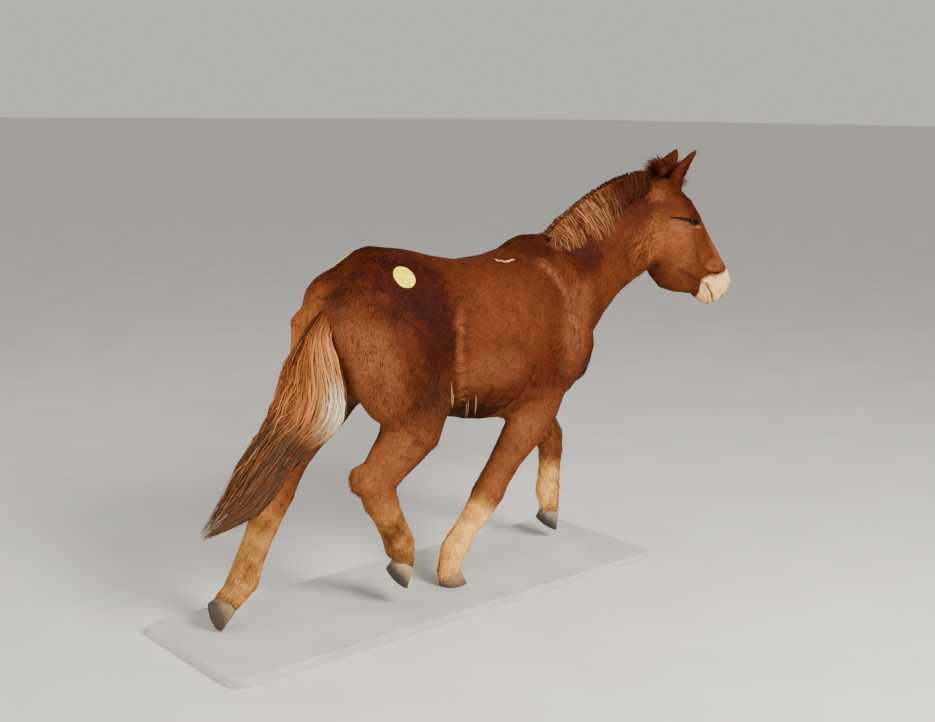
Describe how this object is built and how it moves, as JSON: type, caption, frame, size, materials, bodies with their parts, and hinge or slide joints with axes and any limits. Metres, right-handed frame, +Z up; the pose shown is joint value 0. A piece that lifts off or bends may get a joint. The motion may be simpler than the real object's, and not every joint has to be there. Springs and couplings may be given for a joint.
{
  "type": "mule",
  "caption": "Young mule at the trot, a life-size still model with mane, swung tail and round hip tags, fixed on a flat base plate.",
  "frame": {"origin": "middle of the underside of the box round the whole object, on the underside of the base plate", "axes": "+X the way the mule goes, +Y its left side, +Z up"},
  "size_m": [2.354, 0.58, 1.5544],
  "materials": {
    "coat": "rust-red short woolly coat, tan on the legs, cream muzzle",
    "tail_hair": "long hair, rust and blond above, dark brown below",
    "eye": "wet and dark",
    "hoof": "grey-tan horn, matt",
    "tag": "plain yellow adhesive disc",
    "label": "pale, torn and worn",
    "plate": "plain pale plate, matt"
  },
  "bodies": {
    "root": {"torso": "coat", "neck": "coat", "head": "coat", "ear_left": "coat", "ear_right": "coat", "leg_front_left": "coat", "leg_front_right": "coat", "leg_hind_left": "coat", "leg_hind_right": "coat", "tail": "tail_hair", "eye_left": "eye", "eye_right": "eye", "hoof_front_left": "hoof", "hoof_front_right": "hoof", "hoof_hind_left": "hoof", "hoof_hind_right": "hoof", "hip_tag_left": "tag", "hip_tag_right": "tag", "back_label": "label", "stand_base": "plate"}
  },
  "joints": []
}
